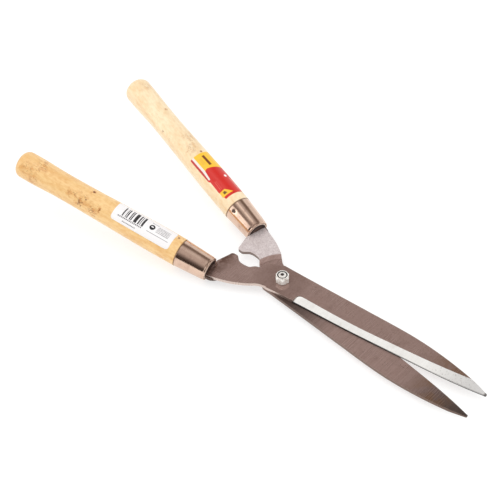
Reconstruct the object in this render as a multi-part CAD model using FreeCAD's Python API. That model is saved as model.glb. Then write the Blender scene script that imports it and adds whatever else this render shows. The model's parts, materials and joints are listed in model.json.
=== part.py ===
"""Hedge shears: two steel blades that cross on one pivot bolt, each driven into a turned
wooden handle through a tapered metal ferrule.  All sizes are millimetres.

The shears lie with the nut side up.  +X runs along the line between the blades towards
their tips, +Y is the left-hand handle's side and +Z is along the pivot bolt, nut end up.
Every piece is drawn about the pivot, where Z = 0 is the plane in which the blades slide
on each other, and is moved into the part's own frame when it is written out.

The upper blade carries the right-hand handle (-Y) and the lower blade the left-hand
handle (+Y).  The lower blade is the upper one turned over, with its arm stepped up, so
that both arms lie at one level and their stops meet edge to edge.
"""
import FreeCAD
import Part
import math
import os

# ---- where the part's own frame stands, seen from the pivot -----------------------
PIVOT_FROM_CENTRE = 26.78     # the pivot stands this far from the middle of the length
PIVOT_HEIGHT = 9.42           # and this far above the lowest point of the ferrules

# ---- blade plate ------------------------------------------------------------------
PLATE = 3.5                   # sheet thickness
HALF_GAP = 0.15               # each blade's clearance to the sliding plane
BLADE_REACH = 236.4           # pivot to the tip
STOP_ANGLE = 3.3              # each arm turns this far, in degrees, before the stops meet
STOP_IN = 57.6                # where the flat of the stop begins, from the pivot
STOP_OUT = 61.4               # and where it ends
EDGE_LAND = 0.8               # thickness left at the cutting edge
GRIND_START = 25.0            # where the ground bevel begins
GRIND_CORNER = 4.5            # radius of the bevel's first corner
GRIND_RIM = -4.6              # Y of the bevel's inner side at that corner
GRIND_RUNOUT = 3.0            # how far the grinding tool runs past the edge
GRIND_OVERSHOOT = 2.0         # and past the bevel's inner side
GRIND_HEADROOM = 2.5 * PLATE  # height of the tool's volume above the sliding face
GRIND_LEVELS = (-10.0, 20.0)  # lowest and highest level of the ground stretch's volume
LEAD_IN = 12.0                # the edge line is drawn on by this much before the heel
LEAD_OUT = 20.0               # and by this much beyond the tip
SAME_LEVEL = 1e-4             # edges within this height of a level lie on it
CHAMFER = 0.25                # broken sharp edge of the sheet

# cutting edge from the heel to the tip, and the back edge from the tip to the heel
CUT_EDGE = [(-6.5, -17.9), (35.0, -12.8), (77.0, -8.8), (115.0, -4.4), (152.0, 0.4),
            (194.0, 5.9), (234.5, 13.7)]
TIP_NOSE = (BLADE_REACH, 15.0)
BACK_EDGE = [(234.8, 16.5), (206.0, 22.1), (180.0, 25.3), (149.0, 26.8), (108.0, 24.9),
             (68.0, 22.1), (34.0, 19.8), (-11.0, 17.0)]
# heel behind the pivot, rounded off on the way to the arm
HEEL_REAR = [(-24.6, 9.6), (-27.4, 7.4), (-27.8, 3.8), (-27.5, -0.4)]
# arm's inner edge: the lobe, the notch and the rise to the stop
NOTCH = [(-31.5, -2.1), (-34.6, -4.2), (-36.9, -7.2), (-40.5, -8.5), (-45.0, -8.9),
         (-49.3, -8.6), (-52.6, -7.0), (-55.4, -4.5)]
STOP_SHOULDER = (-63.4, -4.6)
STOP_BACK = (-64.3, -7.4)
ARM_ROOT_IN = (-70.0, -29.0)
ARM_ROOT_OUT = (-69.0, -46.4)
# arm's outer edge, from the ferrule back to the heel of the cutting edge
ARM_OUTER = [(-50.0, -40.2), (-38.5, -35.2), (-29.5, -30.0), (-22.0, -24.6),
             (-17.0, -20.4), (-13.0, -18.5)]
# width of the ground bevel at stations along the blade
GRIND_WIDTH = [(18.0, 9.2), (60.0, 8.0), (100.0, 7.4), (140.0, 7.9), (180.0, 9.0),
               (215.0, 10.2), (246.0, 10.4)]

# ---- step in the lower blade's arm --------------------------------------------------
STEP_START = 33.5             # radius where the top face leaves the lower level
STEP_RUN = 3.3                # length of the slope
ARM_SPLIT = -2.0              # arm and blade are joined at this X

# ---- handle axis: one straight line through tang, collar, ferrule and handle --------
MOUTH = (-66.0, -35.9, 3.0)   # centre of the ferrule's mouth, right-hand side
SPLAY = 11.9                  # outward lean of the handle, degrees
RISE = 11.5                   # upward lean of the handle, degrees

# ---- ferrule ------------------------------------------------------------------------
FERRULE_LENGTH = 34.0
FERRULE_MOUTH_R = 12.1
FERRULE_SHOULDER_R = 12.93    # radius where the rounded shoulder ends
FERRULE_SHOULDER = 1.9        # and how far that is from the mouth
FERRULE_WOOD_R = 14.8
FERRULE_WALL = 0.8

# ---- collar and tang ----------------------------------------------------------------
COLLAR_R = 11.0
COLLAR_FRONT = -0.7           # along the handle axis, measured from the ferrule's mouth
COLLAR_BACK = 2.4
COLLAR_ROUND = 0.7
TANG_NECK_R = 6.6
NOSE = [(10.4, COLLAR_FRONT), (9.1, -8.5), (2.5, -14.8)]   # radius and place, three points
SPIKE_WIDE = 9.0
SPIKE_NARROW = 3.0
SPIKE_END = 78.0

# ---- wooden handle -------------------------------------------------------------------
HANDLE_END = 231.0
WOOD_AT_FERRULE = 14.95
# distance from the ferrule's mouth and radius, down to the cylindrical butt
HANDLE_CURVE = [(FERRULE_LENGTH, WOOD_AT_FERRULE), (60.0, 15.1), (80.0, 14.95),
                (110.0, 14.4), (140.0, 13.8), (160.0, 13.55), (175.0, 13.55),
                (188.0, 13.8), (200.0, 14.3), (209.5, 14.6)]
BUTT_R = 14.6
BUTT_START = 209.5
BUTT_END = 223.5
BUTT_FACE_R = 8.0

# ---- nail through each ferrule ---------------------------------------------------------
NAIL_PLACE = 27.5             # along the handle axis from the mouth
NAIL_HEAD_R = 1.3
NAIL_HEAD = 0.3
NAIL_SHANK_R = 0.8
NAIL_LENGTH = 9.0             # stops short of the spike
LEFT_NAIL_ANGLE = -48.0       # round the handle, from its top towards its outer side
RIGHT_NAIL_ANGLE = -132.0

# ---- paper labels, glued round the handles -----------------------------------------------
LABEL_THICKNESS = 0.12
BARCODE_LABEL = (44.0, 114.0, -40.0, 55.0)   # start, end, first and last angle
COLOUR_LABEL = (44.0, 107.0, -52.0, 50.0)

# ---- pivot: coach bolt M8, lock nut with a nylon ring ------------------------------------------
BOLT_R = 4.0
UPPER_HOLE_R = 4.05           # running fit of the upper blade on the bolt
NECK_SQUARE = 8.0             # square neck that stops the bolt from turning
NECK_HOLE = 8.2
HEAD_R = 9.6
HEAD_HEIGHT = 4.2
NUT_GAP = 0.15                # under the nut, so that the upper blade can turn
NUT_ACROSS_FLATS = 13.0
NUT_HEX_HEIGHT = 6.2
NUT_HEIGHT = 8.0
NUT_COLLAR_R = 6.25
NUT_RIM = 0.95                # wall of the round collar round the nylon ring
NUT_CHAMFER = 0.7
NUT_TURN = -49.0              # direction of one corner of the hexagon, degrees
NYLON_TOP = 7.3
NYLON_BOTTOM = 5.4
BOLT_PROUD = 0.5              # bolt end above the nut
BOLT_CHAMFER = 0.8
BOLT_CUP_R = 2.2
BOLT_CUP_DEPTH = 1.0

# ---- shapes of rounded parts ---------------------------------------------------------------
QUARTER_SAG = 1 - math.sqrt(0.5)     # a quarter round's middle, in from the square corner
SHOULDER_BULGE = (0.72, 0.34)        # middle of the ferrule's shoulder, as shares of its run
DOME_BULGE = (0.72, 0.6)             # middle of the bolt head's dome, as shares of its size
HEAD_RIM = 0.5                       # upright rim of the bolt head
NUT_FLAT_INSET = 0.1                 # end faces of the nut lie this far within the flats
NUT_CORNER_SLOPE = 0.6               # rise of the nut's corner chamfer for each unit of run
OVERRUN = 0.5                        # how far joined shapes run into each other
REACH = 200.0                        # size of a cutting block, beyond any piece

UP = FreeCAD.Vector(0, 0, 1)
ORIGIN = FreeCAD.Vector(0, 0, 0)


def flat(point, z=0.0):
    """A point of a plan outline as a vector at height z."""
    return FreeCAD.Vector(point[0], point[1], z)


def line(a, b):
    return Part.makeLine(flat(a), flat(b))


def curve(points, start=None, end=None):
    """A smooth edge through plan points, with optional end directions."""
    spline = Part.BSplineCurve()
    if start and end:
        spline.interpolate([flat(p) for p in points], InitialTangent=flat(start),
                           FinalTangent=flat(end))
    else:
        spline.interpolate([flat(p) for p in points])
    return spline.toShape()


def arc(a, middle, b):
    return Part.Arc(flat(a), flat(middle), flat(b)).toShape()


def stop_point(reach):
    """A point on the stop's flat, which lies on a ray from the pivot."""
    return (-reach, -reach * math.tan(math.radians(STOP_ANGLE)))


def blank_face():
    """Outline of the upper blade's blank, arm included, as a flat face."""
    stop_in = stop_point(STOP_IN)
    stop_out = stop_point(STOP_OUT)
    edges = [
        curve(CUT_EDGE),
        arc(CUT_EDGE[-1], TIP_NOSE, BACK_EDGE[0]),
        curve(BACK_EDGE),
        line(BACK_EDGE[-1], HEEL_REAR[0]),
        curve(HEEL_REAR),
        curve([HEEL_REAR[-1]] + NOTCH + [stop_in]),
        line(stop_in, stop_out),
        arc(stop_out, STOP_SHOULDER, STOP_BACK),
        line(STOP_BACK, ARM_ROOT_IN),
        line(ARM_ROOT_IN, ARM_ROOT_OUT),
        curve([ARM_ROOT_OUT] + ARM_OUTER + [CUT_EDGE[0]]),
    ]
    return Part.Face(Part.Wire(Part.__sortEdges__(edges)))


def slab(face, low, high):
    """The face extruded between two heights."""
    lifted = face.copy()
    lifted.translate(FreeCAD.Vector(0, 0, low))
    return lifted.extrude(FreeCAD.Vector(0, 0, high - low))


def box(low, high):
    size = [high[i] - low[i] for i in range(3)]
    return Part.makeBox(*size, FreeCAD.Vector(*low))


def turned_over(shape):
    """The shape turned half a turn about the X axis."""
    turned = shape.copy()
    turned.rotate(ORIGIN, FreeCAD.Vector(1, 0, 0), 180)
    return turned


def mirrored(shape):
    """The left-hand twin of a right-hand piece."""
    return shape.mirror(ORIGIN, FreeCAD.Vector(0, 1, 0))


def grind_section(edge, x, width, top):
    """Section of the grinding cut where the cutting edge passes x.

    The cut's slope runs from EDGE_LAND above the sliding face at the edge up to the top
    face at the bevel's width, and is carried a little past both.
    """
    reach = edge.Curve.intersectCC(
        Part.Line(FreeCAD.Vector(x, -REACH, 0), FreeCAD.Vector(x, REACH, 0)))
    foot = FreeCAD.Vector(reach[0].X, reach[0].Y, 0)
    along = edge.Curve.tangent(edge.Curve.parameter(foot))[0]
    inward = FreeCAD.Vector(-along.y, along.x, 0).normalize()
    slope = (PLATE - EDGE_LAND) / width
    inner_side = width + GRIND_OVERSHOOT
    corners = []
    for offset, height in [(-GRIND_RUNOUT, EDGE_LAND - slope * GRIND_RUNOUT),
                           (inner_side, PLATE + slope * GRIND_OVERSHOOT),
                           (inner_side, GRIND_HEADROOM),
                           (-GRIND_RUNOUT, GRIND_HEADROOM)]:
        corners.append(foot + inward * offset + UP * (top - PLATE + height))
    return Part.makePolygon(corners + [corners[0]])


def grind_window():
    """Plan of the ground stretch: it starts square to the edge with one round corner."""
    turn = GRIND_START + GRIND_CORNER
    bend = GRIND_CORNER * QUARTER_SAG
    below = -REACH
    beyond = BLADE_REACH + REACH
    edges = [
        line((GRIND_START, below), (GRIND_START, GRIND_RIM - GRIND_CORNER)),
        arc((GRIND_START, GRIND_RIM - GRIND_CORNER), (GRIND_START + bend, GRIND_RIM - bend),
            (turn, GRIND_RIM)),
        line((turn, GRIND_RIM), (turn, -below)),
        line((turn, -below), (beyond, -below)),
        line((beyond, -below), (beyond, below)),
        line((beyond, below), (GRIND_START, below)),
    ]
    return Part.Face(Part.Wire(Part.__sortEdges__(edges)))


def grind_cut(top):
    """The volume that grinding takes off the upper blade."""
    edge = curve(CUT_EDGE).Curve
    heading_in = edge.tangent(edge.FirstParameter)[0]
    heading_out = edge.tangent(edge.LastParameter)[0]
    before = flat(CUT_EDGE[0]) - heading_in * LEAD_IN
    after = flat(CUT_EDGE[-1]) + heading_out * LEAD_OUT
    points = [before] + [flat(p) for p in CUT_EDGE] + [after]
    spline = Part.BSplineCurve()
    spline.interpolate(points)
    guide = spline.toShape()
    sections = [grind_section(guide, x, width, top) for x, width in GRIND_WIDTH]
    cut = Part.makeLoft(sections, True, False)
    window = slab(grind_window(), *GRIND_LEVELS)
    return cut.common(window)


def chamfered(solid, level, size):
    """The solid with the sharp edges at one height broken."""
    edges = []
    for edge in solid.Edges:
        box_of = edge.BoundBox
        if abs(box_of.ZMin - level) < SAME_LEVEL and abs(box_of.ZMax - level) < SAME_LEVEL:
            edges.append(edge)
    return solid.makeChamfer(size, edges)


def collar_plane_cut():
    """Everything behind the front of the right-hand collar."""
    corner = FreeCAD.Vector(-REACH / 2, -REACH / 2, COLLAR_FRONT)
    block = Part.makeBox(REACH, REACH, REACH, corner)
    return on_handle(block)


def on_handle(shape):
    """Carries a shape drawn along local Z, with local X up, onto the right handle's axis."""
    splay = math.radians(SPLAY)
    rise = math.radians(RISE)
    along = FreeCAD.Vector(-math.cos(rise) * math.cos(splay),
                           -math.cos(rise) * math.sin(splay), math.sin(rise))
    inner = FreeCAD.Vector(-math.sin(splay), math.cos(splay), 0)
    top = inner.cross(along)
    matrix = FreeCAD.Matrix(top.x, inner.x, along.x, MOUTH[0],
                            top.y, inner.y, along.y, MOUTH[1],
                            top.z, inner.z, along.z, MOUTH[2],
                            0, 0, 0, 1)
    placed = shape.copy()
    placed.transformShape(matrix)
    return placed


def turned(edges):
    """A solid of revolution about the local Z axis from edges in the XZ plane."""
    face = Part.Face(Part.Wire(Part.__sortEdges__(edges)))
    return face.revolve(ORIGIN, UP, 360)


def rz(radius, s):
    """A point of a turned profile: radius from the axis and distance along it."""
    return FreeCAD.Vector(radius, 0, s)


def profile_line(a, b):
    return Part.makeLine(rz(*a), rz(*b))


def profile_arc(a, middle, b):
    return Part.Arc(rz(*a), rz(*middle), rz(*b)).toShape()


def blade_with_hole(hole):
    """The upper blade's flat plate: chamfered, ground along its edge, with the hole cut."""
    low = HALF_GAP
    top = HALF_GAP + PLATE
    plate = slab(blank_face(), low, top)
    plate = chamfered(plate, top, CHAMFER)
    plate = plate.cut(grind_cut(top))
    return plate.cut(hole)


def make_upper_blade():
    hole = Part.makeCylinder(UPPER_HOLE_R, REACH, FreeCAD.Vector(0, 0, -REACH / 2), UP)
    return blade_with_hole(hole).cut(collar_plane_cut())


def make_lower_blade():
    """The upper blade turned over, with an arm that steps up to the upper blade's level."""
    half = NECK_HOLE / 2
    hole = box((-half, -half, -REACH), (half, half, REACH))
    blade = turned_over(blade_with_hole(hole))
    blade = blade.common(box((ARM_SPLIT, -REACH, -REACH), (2 * REACH, REACH, REACH)))
    low = HALF_GAP
    top = HALF_GAP + PLATE
    drop = top + low
    lean = math.atan2(drop, STEP_RUN)
    under = PLATE * math.tan(lean / 2)
    corners = [(0, -top), (STEP_START + under, -top), (STEP_START + STEP_RUN + under, low),
               (REACH, low), (REACH, top), (STEP_START + STEP_RUN, top), (STEP_START, -low),
               (0, -low)]
    edges = [profile_line(a, b) for a, b in zip(corners, corners[1:] + corners[:1])]
    stepped = turned(edges)
    arm_plan = slab(mirrored(blank_face()), -REACH, REACH)
    arm_side = box((-REACH, -REACH, -REACH), (ARM_SPLIT, REACH, REACH))
    arm = stepped.common(arm_plan).common(arm_side).cut(hole)
    arm = arm.cut(mirrored(collar_plane_cut()))
    return blade.fuse(arm).removeSplitter()


def nose_edges(points):
    """Closed half outline of a round nose: an arc through three points and its flat ends."""
    (first_r, first_s), _, (last_r, last_s) = points
    return [
        profile_arc(*points),
        profile_line((last_r, last_s), (0, last_s)),
        profile_line((0, last_s), (0, first_s)),
        profile_line((0, first_s), (first_r, first_s)),
    ]


def make_tang(blade):
    """Round-nosed bar under the arm, with a square spike that is driven into the wood."""
    front = rz(0, COLLAR_FRONT)
    nose = turned(nose_edges(NOSE))
    below = box((-REACH, -REACH, -REACH), (0, REACH, REACH))
    nose = nose.common(below)
    neck = Part.makeCylinder(TANG_NECK_R, COLLAR_BACK - COLLAR_FRONT, front, UP)
    wide = SPIKE_WIDE / 2
    narrow = SPIKE_NARROW / 2
    squares = []
    for half, s in [(wide, COLLAR_BACK), (narrow, SPIKE_END)]:
        ring = [FreeCAD.Vector(x * half, y * half, s)
                for x, y in [(-1, -1), (1, -1), (1, 1), (-1, 1)]]
        squares.append(Part.makePolygon(ring + [ring[0]]))
    spike = Part.makeLoft(squares, True, True)
    bar = nose.fuse([neck, spike]).removeSplitter()
    return on_handle(bar).cut(blade)


def make_collar():
    """Thick round washer that closes the ferrule's mouth round the tang."""
    disc = Part.makeCylinder(COLLAR_R, COLLAR_BACK - COLLAR_FRONT, rz(0, COLLAR_FRONT), UP)
    rim = [edge for edge in disc.Edges
           if abs(edge.BoundBox.ZMin - COLLAR_FRONT) < 1e-4
           and abs(edge.BoundBox.ZMax - COLLAR_FRONT) < 1e-4]
    disc = disc.makeFillet(COLLAR_ROUND, rim)
    bore = Part.makeCylinder(TANG_NECK_R, REACH, rz(0, -REACH / 2), UP)
    return on_handle(disc.cut(bore))


def ferrule_outline(inset):
    """Outer corner, shoulder middle and wood-end radii of the ferrule, less a wall."""
    mouth = (FERRULE_MOUTH_R - inset, 0.0)
    shoulder = (FERRULE_SHOULDER_R - inset, FERRULE_SHOULDER)
    out, in_from_mouth = SHOULDER_BULGE
    middle = (FERRULE_MOUTH_R - inset + out * (FERRULE_SHOULDER_R - FERRULE_MOUTH_R),
              in_from_mouth * FERRULE_SHOULDER)
    wood = (FERRULE_WOOD_R - inset, FERRULE_LENGTH)
    return mouth, middle, shoulder, wood


def make_ferrule(nail):
    """Tapered tube with a rounded shoulder and a rolled lip at the mouth."""
    outer = ferrule_outline(0.0)
    inner = ferrule_outline(FERRULE_WALL)
    lip = (FERRULE_MOUTH_R - FERRULE_WALL / 2, -FERRULE_WALL / 2)
    edges = [
        profile_arc(outer[0], outer[1], outer[2]),
        profile_line(outer[2], outer[3]),
        profile_line(outer[3], inner[3]),
        profile_line(inner[3], inner[2]),
        profile_arc(inner[2], inner[1], inner[0]),
        profile_arc(inner[0], lip, outer[0]),
    ]
    return on_handle(turned(edges)).cut(nail)


def handle_curve_edge(extra=0.0):
    """The waisted side of the handle as one smooth edge, raised by extra."""
    spline = Part.BSplineCurve()
    spline.interpolate([rz(r + extra, s) for s, r in HANDLE_CURVE])
    return spline.toShape()


def make_handle(tang, nail):
    """Turned wooden handle, its front end inside the ferrule."""
    mouth, middle, shoulder, wood = ferrule_outline(FERRULE_WALL)
    seat = profile_arc(mouth, middle, shoulder)
    level = profile_line((0, COLLAR_BACK), (2 * FERRULE_WOOD_R, COLLAR_BACK))
    start_r = seat.distToShape(level)[1][0][0].x
    rest = COLLAR_BACK
    bulge = (BUTT_R - QUARTER_SAG * (BUTT_R - BUTT_FACE_R),
             HANDLE_END - QUARTER_SAG * (HANDLE_END - BUTT_END))
    edges = [
        profile_line((0, rest), (start_r, rest)),
        profile_line((start_r, rest), (shoulder[0], FERRULE_SHOULDER)),
        profile_line((shoulder[0], FERRULE_SHOULDER), wood),
        profile_line(wood, (WOOD_AT_FERRULE, FERRULE_LENGTH)),
        handle_curve_edge(),
        profile_line((BUTT_R, BUTT_START), (BUTT_R, BUTT_END)),
        profile_arc((BUTT_R, BUTT_END), bulge, (BUTT_FACE_R, HANDLE_END)),
        profile_line((BUTT_FACE_R, HANDLE_END), (0, HANDLE_END)),
        profile_line((0, HANDLE_END), (0, rest)),
    ]
    return on_handle(turned(edges)).cut(tang).cut(nail)


def make_nail(angle):
    """Short round-headed nail through the ferrule into the wood."""
    share = (NAIL_PLACE - FERRULE_SHOULDER) / (FERRULE_LENGTH - FERRULE_SHOULDER)
    surface = FERRULE_SHOULDER_R + share * (FERRULE_WOOD_R - FERRULE_SHOULDER_R)
    shank = Part.makeCylinder(NAIL_SHANK_R, NAIL_LENGTH,
                              rz(surface + NAIL_HEAD - NAIL_LENGTH, NAIL_PLACE),
                              FreeCAD.Vector(1, 0, 0))
    head = Part.makeCylinder(NAIL_HEAD_R, 2 * NAIL_HEAD, rz(surface - NAIL_HEAD, NAIL_PLACE),
                             FreeCAD.Vector(1, 0, 0))
    nail = shank.fuse(head).removeSplitter()
    nail.rotate(ORIGIN, UP, -angle)
    return on_handle(nail)


def make_label(extent):
    """Thin paper patch that follows the handle's side between two angles."""
    start, end, first, last = extent
    skin = [handle_curve_edge(LABEL_THICKNESS), handle_curve_edge()]
    near = skin[0].valueAt(skin[0].FirstParameter)
    far = skin[0].valueAt(skin[0].LastParameter)
    edges = skin + [
        Part.makeLine(near, skin[1].valueAt(skin[1].FirstParameter)),
        Part.makeLine(far, skin[1].valueAt(skin[1].LastParameter)),
    ]
    face = Part.Face(Part.Wire(Part.__sortEdges__(edges)))
    face.rotate(ORIGIN, UP, -last)
    patch = face.revolve(ORIGIN, UP, last - first)
    length = box((-REACH, -REACH, start), (REACH, REACH, end))
    return on_handle(patch.common(length))


def make_bolt():
    """Coach bolt: domed head, square neck in the lower blade, shank up through the nut."""
    seat = -(HALF_GAP + PLATE)
    end = HALF_GAP + PLATE + NUT_GAP + NUT_HEIGHT + BOLT_PROUD
    out, down = DOME_BULGE
    rim = seat - HEAD_RIM
    dome = profile_arc((0, seat - HEAD_HEIGHT), (HEAD_R * out, seat - HEAD_HEIGHT * down),
                       (HEAD_R, rim))
    edges = [
        dome,
        profile_line((HEAD_R, rim), (HEAD_R, seat)),
        profile_line((HEAD_R, seat), (BOLT_R, seat)),
        profile_line((BOLT_R, seat), (BOLT_R, end - BOLT_CHAMFER)),
        profile_line((BOLT_R, end - BOLT_CHAMFER), (BOLT_R - BOLT_CHAMFER, end)),
        profile_line((BOLT_R - BOLT_CHAMFER, end), (BOLT_CUP_R, end)),
        profile_line((BOLT_CUP_R, end), (0, end - BOLT_CUP_DEPTH)),
        profile_line((0, end - BOLT_CUP_DEPTH), (0, seat - HEAD_HEIGHT)),
    ]
    half = NECK_SQUARE / 2
    neck = box((-half, -half, seat), (half, half, -HALF_GAP))
    return turned(edges).fuse(neck).removeSplitter()


def make_nut():
    """Hexagon nut with a round collar crimped over the nylon ring."""
    base = HALF_GAP + PLATE + NUT_GAP
    corner = NUT_ACROSS_FLATS / 2 / math.cos(math.pi / 6)
    points = [FreeCAD.Vector(corner * math.cos(math.radians(NUT_TURN + 60 * k)),
                             corner * math.sin(math.radians(NUT_TURN + 60 * k)), base)
              for k in range(7)]
    hexagon = Part.Face(Part.makePolygon(points)).extrude(UP * NUT_HEX_HEIGHT)
    hex_top = base + NUT_HEX_HEIGHT
    flat_r = NUT_ACROSS_FLATS / 2 - NUT_FLAT_INSET
    outer = corner + OVERRUN
    rise = (outer - flat_r) * NUT_CORNER_SLOPE
    turned_edges = [
        profile_line((0, base), (flat_r, base)),
        profile_line((flat_r, base), (outer, base + rise)),
        profile_line((outer, base + rise), (outer, hex_top - rise)),
        profile_line((outer, hex_top - rise), (flat_r, hex_top)),
        profile_line((flat_r, hex_top), (0, hex_top)),
        profile_line((0, hex_top), (0, base)),
    ]
    hexagon = hexagon.common(turned(turned_edges))
    top = base + NUT_HEIGHT
    lip = NUT_COLLAR_R - NUT_RIM
    pocket = Part.makeCylinder(lip, NUT_HEIGHT, rz(0, base + NYLON_BOTTOM), UP)
    crown = Part.makeCylinder(NUT_COLLAR_R, top - hex_top + OVERRUN,
                              rz(0, hex_top - OVERRUN), UP)
    rim = [edge for edge in crown.Edges if abs(edge.BoundBox.ZMin - top) < 1e-4]
    crown = crown.makeFillet(NUT_CHAMFER, rim)
    bore = Part.makeCylinder(BOLT_R, 2 * NUT_HEIGHT, rz(0, base - 1), UP)
    return hexagon.fuse(crown).removeSplitter().cut(pocket).cut(bore)


def make_nylon_ring():
    base = HALF_GAP + PLATE + NUT_GAP
    ring = Part.makeCylinder(NUT_COLLAR_R - NUT_RIM, NYLON_TOP - NYLON_BOTTOM,
                             rz(0, base + NYLON_BOTTOM), UP)
    bore = Part.makeCylinder(BOLT_R, 2 * NUT_HEIGHT, rz(0, base - 1), UP)
    return ring.cut(bore)


def write_out(name, shape):
    """Moves a piece into the part's own frame and writes it as one STEP file."""
    placed = shape.copy()
    placed.translate(FreeCAD.Vector(PIVOT_FROM_CENTRE, 0, PIVOT_HEIGHT))
    placed.exportStep("parts/" + name + ".step")
    extent = placed.BoundBox
    print("%-20s solids %d valid %s volume %.0f  x %.2f..%.2f y %.2f..%.2f z %.2f..%.2f" % (
        name, len(placed.Solids), placed.isValid(), placed.Volume, extent.XMin, extent.XMax,
        extent.YMin, extent.YMax, extent.ZMin, extent.ZMax))


def main():
    os.makedirs("parts", exist_ok=True)
    upper_blade = make_upper_blade()
    lower_blade = make_lower_blade()
    right_tang = make_tang(upper_blade)
    left_tang = mirrored(make_tang(mirrored(lower_blade)))
    collar = make_collar()
    right_nail = make_nail(RIGHT_NAIL_ANGLE)
    left_nail = make_nail(LEFT_NAIL_ANGLE)
    nylon_ring = make_nylon_ring()
    pieces = {
        "upper_blade": upper_blade,
        "lower_blade": lower_blade,
        "right_tang": right_tang,
        "left_tang": left_tang,
        "right_collar": collar,
        "left_collar": mirrored(collar),
        "right_ferrule": make_ferrule(right_nail),
        "left_ferrule": mirrored(make_ferrule(left_nail)),
        "right_handle": make_handle(right_tang, right_nail),
        "left_handle": mirrored(make_handle(mirrored(left_tang), left_nail)),
        "right_ferrule_nail": right_nail,
        "left_ferrule_nail": mirrored(left_nail),
        "right_barcode_label": make_label(BARCODE_LABEL),
        "left_colour_label": mirrored(make_label(COLOUR_LABEL)),
        "pivot_bolt": make_bolt(),
        "lock_nut": make_nut(),
        "nut_nylon_ring": nylon_ring,
    }
    for name, shape in pieces.items():
        write_out(name, shape)


main()
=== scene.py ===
"""Looks of the hedge shears: turned birch handles, plated ferrules and ground steel blades.

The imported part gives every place.  Handles, ferrules and labels are made again as fine
surfaces on each handle's own axes; the other pieces keep their solid shape and get their
finish here.  Lengths are in metres, except on the labels' UV maps, which are in millimetres.
"""
import json
import math

import bmesh
import bpy
import numpy as np
from mathutils import Matrix, Vector


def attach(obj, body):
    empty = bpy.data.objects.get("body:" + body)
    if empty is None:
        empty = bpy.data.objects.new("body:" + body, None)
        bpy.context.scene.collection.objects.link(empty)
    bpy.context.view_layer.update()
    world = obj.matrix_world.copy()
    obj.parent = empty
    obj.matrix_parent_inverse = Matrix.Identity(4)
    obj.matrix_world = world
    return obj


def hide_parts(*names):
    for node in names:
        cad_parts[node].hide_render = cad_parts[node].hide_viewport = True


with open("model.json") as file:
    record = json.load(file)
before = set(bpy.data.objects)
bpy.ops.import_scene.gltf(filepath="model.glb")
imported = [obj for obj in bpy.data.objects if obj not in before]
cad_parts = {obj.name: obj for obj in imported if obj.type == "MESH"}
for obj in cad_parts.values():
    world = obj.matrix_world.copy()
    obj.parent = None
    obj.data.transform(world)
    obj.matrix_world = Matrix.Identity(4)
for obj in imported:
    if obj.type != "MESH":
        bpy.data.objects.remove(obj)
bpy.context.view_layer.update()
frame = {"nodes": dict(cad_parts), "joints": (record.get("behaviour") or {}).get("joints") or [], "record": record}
nodes = frame["nodes"]
mounts = {m["name"]: m for m in frame["record"]["mounts"]}
PIVOT = np.array(frame["joints"][0]["pos_m"])
MM = 0.001

# ---- sizes of the turned pieces, in millimetres along and around a handle's axis ----------
BUTT_FROM_MOUTH = 231.0       # length from the ferrule's mouth to the butt's end face
FERRULE_LENGTH = 34.0
FERRULE_SIDE = [(0.95, 12.5), (1.3, 12.72), (1.9, 12.93), (34.0, 14.8)]
FERRULE_INSIDE = [(34.0, 14.25), (33.7, 14.0), (3.6, 12.3), (1.4, 11.7)]
LIP = (0.15, 11.95, 0.65)     # place, ring radius and bead radius of the rolled mouth
WOOD_SIDE = [(34.0, 14.95), (60.0, 15.1), (80.0, 14.95), (110.0, 14.4), (140.0, 13.8),
             (160.0, 13.55), (175.0, 13.55), (188.0, 13.8), (200.0, 14.3), (209.5, 14.6),
             (223.5, 14.6)]
BUTT_ROUND = (223.5, 14.6, 8.0)    # where the rounding starts, its radius and the flat's
LATHE_MARK = 1.6              # radius of the lathe centre's mark in the butt
PAPER = 0.12                  # thickness of a label
LABEL_R = 14.8                # radius at which a label's width is measured
NAIL_FROM_MOUTH = 27.5
NAIL_ANGLE = {"right": -132.0, "left": -48.0}


class Grip:
    """One handle's own axes: the ferrule's mouth, and the ways along, up and outwards."""

    def __init__(self, side):
        end = mounts[side + "_butt_end"]
        self.side = side
        self.along = np.array(end["axis"]) / np.linalg.norm(end["axis"])
        self.mouth = np.array(end["pos_m"]) - BUTT_FROM_MOUTH * MM * self.along
        across = np.cross([0.0, 0.0, 1.0], self.along)
        self.outer = -math.copysign(1.0, end["pos_m"][1]) * across / np.linalg.norm(across)
        self.top = np.cross(self.outer, self.along)
        self.top *= math.copysign(1.0, self.top[2])

    def place(self, length, radius, angle):
        """Points at distances along the axis and from it, in mm, turned from top to outer."""
        along = np.multiply.outer(length * MM, self.along)
        ring = (np.cos(angle)[..., None] * self.top + np.sin(angle)[..., None] * self.outer)
        return self.mouth + along + radius[..., None] * MM * ring

    def euler(self):
        """The turn that carries object coordinates to the handle's own axes."""
        rows = Matrix([self.top, self.outer, np.cross(self.top, self.outer)])
        return rows.to_euler()


GRIPS = {side: Grip(side) for side in ("right", "left")}


# ---- surfaces -------------------------------------------------------------------------------

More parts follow.
